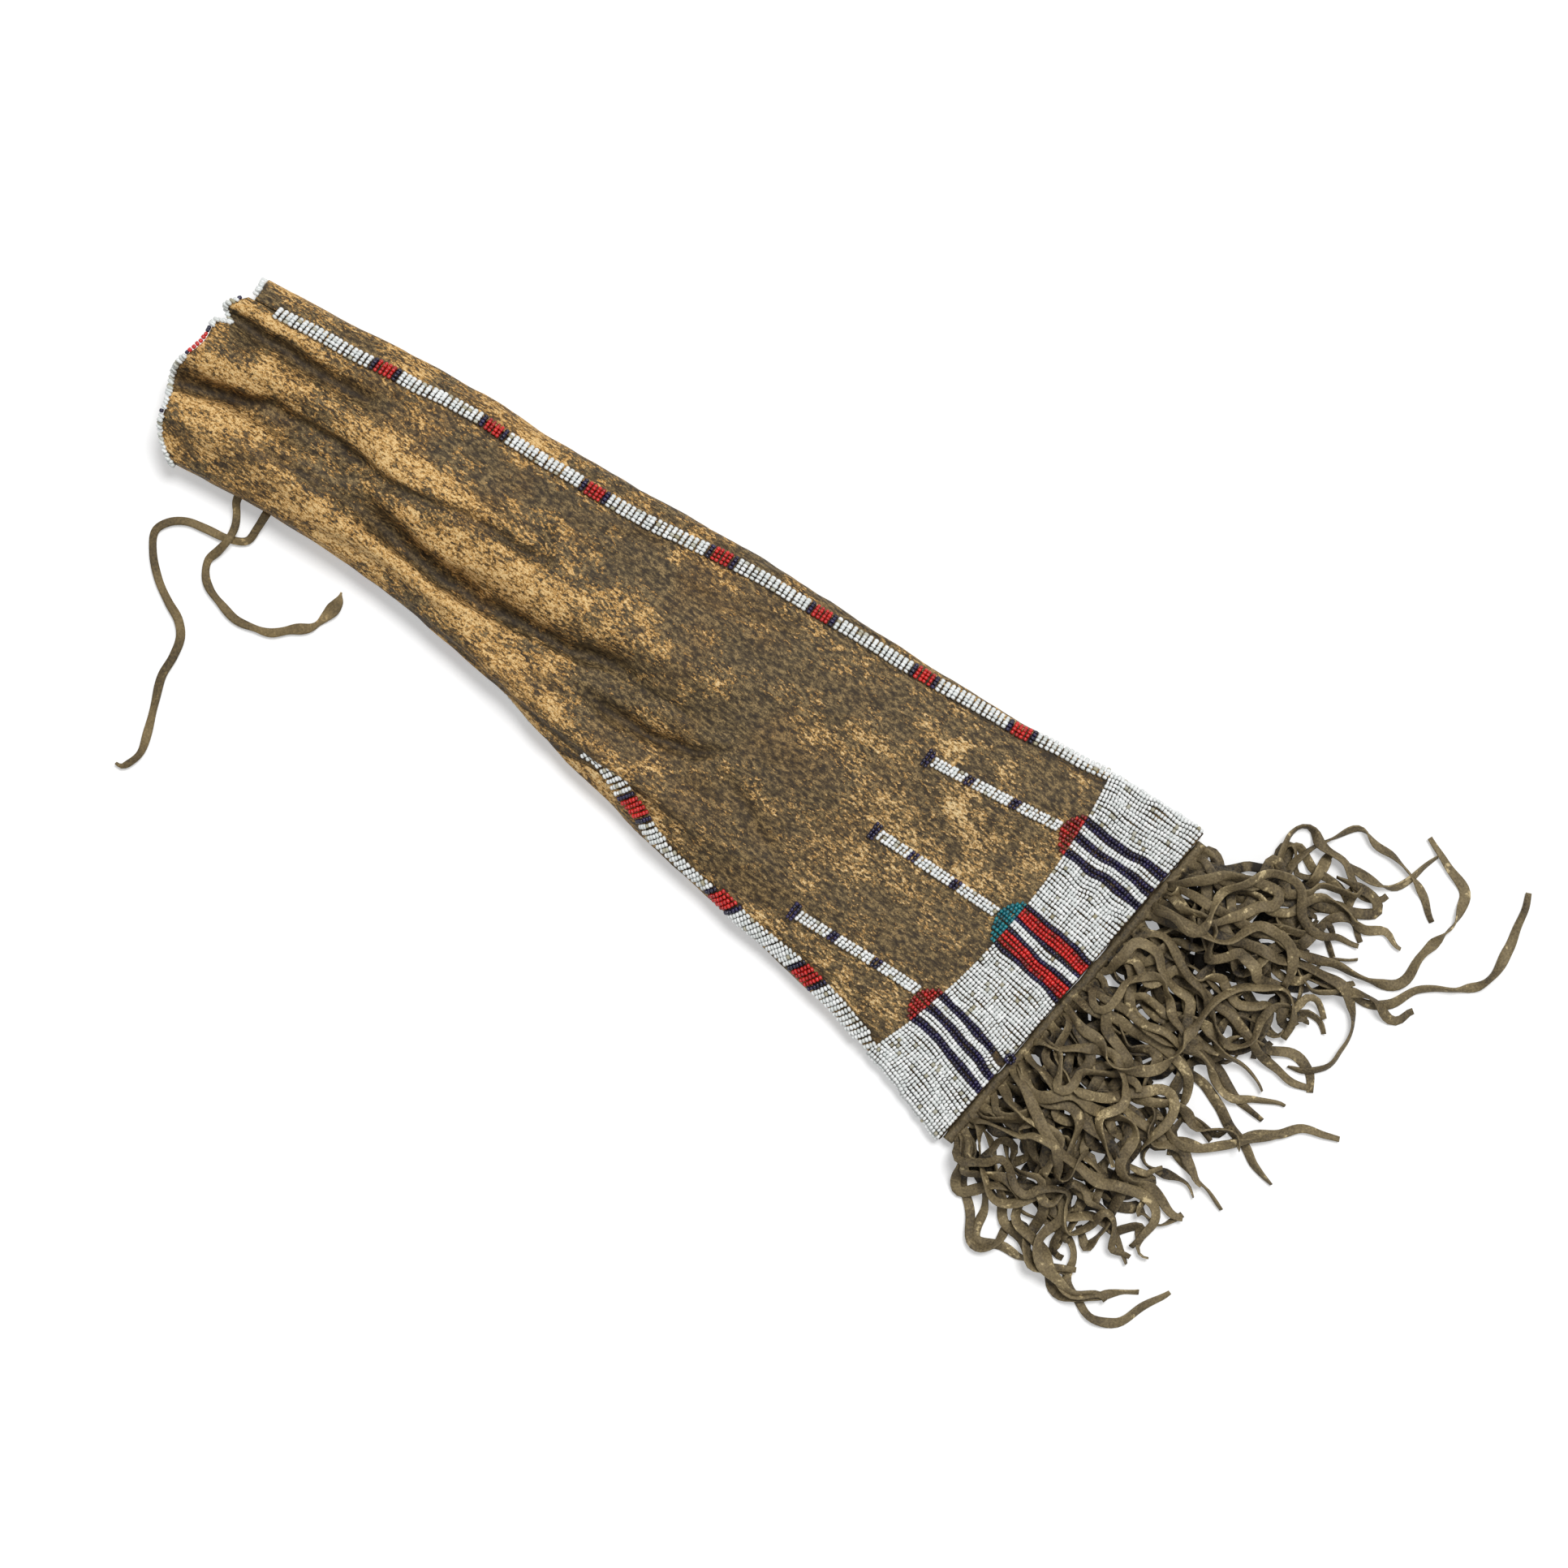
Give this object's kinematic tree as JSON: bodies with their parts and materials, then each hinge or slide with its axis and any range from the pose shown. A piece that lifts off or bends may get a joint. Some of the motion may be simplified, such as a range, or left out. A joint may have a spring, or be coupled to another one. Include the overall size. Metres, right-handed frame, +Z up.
{
  "type": "beaded tobacco bag",
  "caption": "Long hide pouch lying flat, with a gathered open mouth, bead strips over its seams, a lane-stitched bead band, bead lines, a cut hide fringe and tie thongs.",
  "frame": {"origin": "on the flat underside where the bag lies, under the middle of the hide body", "axes": "+X along the bag from the mouth to the fringe, +Y across it, +Z up from the surface it lies on"},
  "size_m": [0.6689, 0.3564, 0.0385],
  "materials": {
    "hide": "greasy dark hide worn through to golden tan",
    "thong": "dark cut hide with worn edges",
    "white_beads": "opaque white seed beads",
    "navy_beads": "dark navy seed beads",
    "red_beads": "red seed beads",
    "teal_beads": "teal seed beads"
  },
  "bodies": {
    "root": {"back_bead_band": "white_beads", "back_mouth_edging": "white_beads", "back_panel": "hide", "fringe": "thong", "front_mouth_edging": "white_beads", "front_panel": "hide", "lower_cap": "red_beads", "lower_line": "white_beads", "lower_line_head": "navy_beads", "lower_seam_strip": "white_beads", "middle_cap": "teal_beads", "middle_line": "white_beads", "middle_line_head": "navy_beads", "navy_stripe_02": "navy_beads", "navy_stripe_04": "navy_beads", "navy_stripe_06": "navy_beads", "navy_stripe_08": "navy_beads", "navy_stripe_10": "navy_beads", "navy_stripe_12": "navy_beads", "navy_stripe_14": "navy_beads", "navy_stripe_16": "navy_beads", "navy_stripe_18": "navy_beads", "navy_stripe_20": "navy_beads", "red_stripe_09": "red_beads", "red_stripe_13": "red_beads", "tie_thong_long": "thong", "tie_thong_short": "thong", "upper_cap": "red_beads", "upper_line": "white_beads", "upper_line_head": "navy_beads", "upper_seam_strip": "white_beads", "white_stripe_01": "white_beads", "white_stripe_03": "white_beads", "white_stripe_05": "white_beads", "white_stripe_07": "white_beads", "white_stripe_11": "white_beads", "white_stripe_15": "white_beads", "white_stripe_17": "white_beads", "white_stripe_19": "white_beads", "white_stripe_21": "white_beads"}
  },
  "joints": []
}
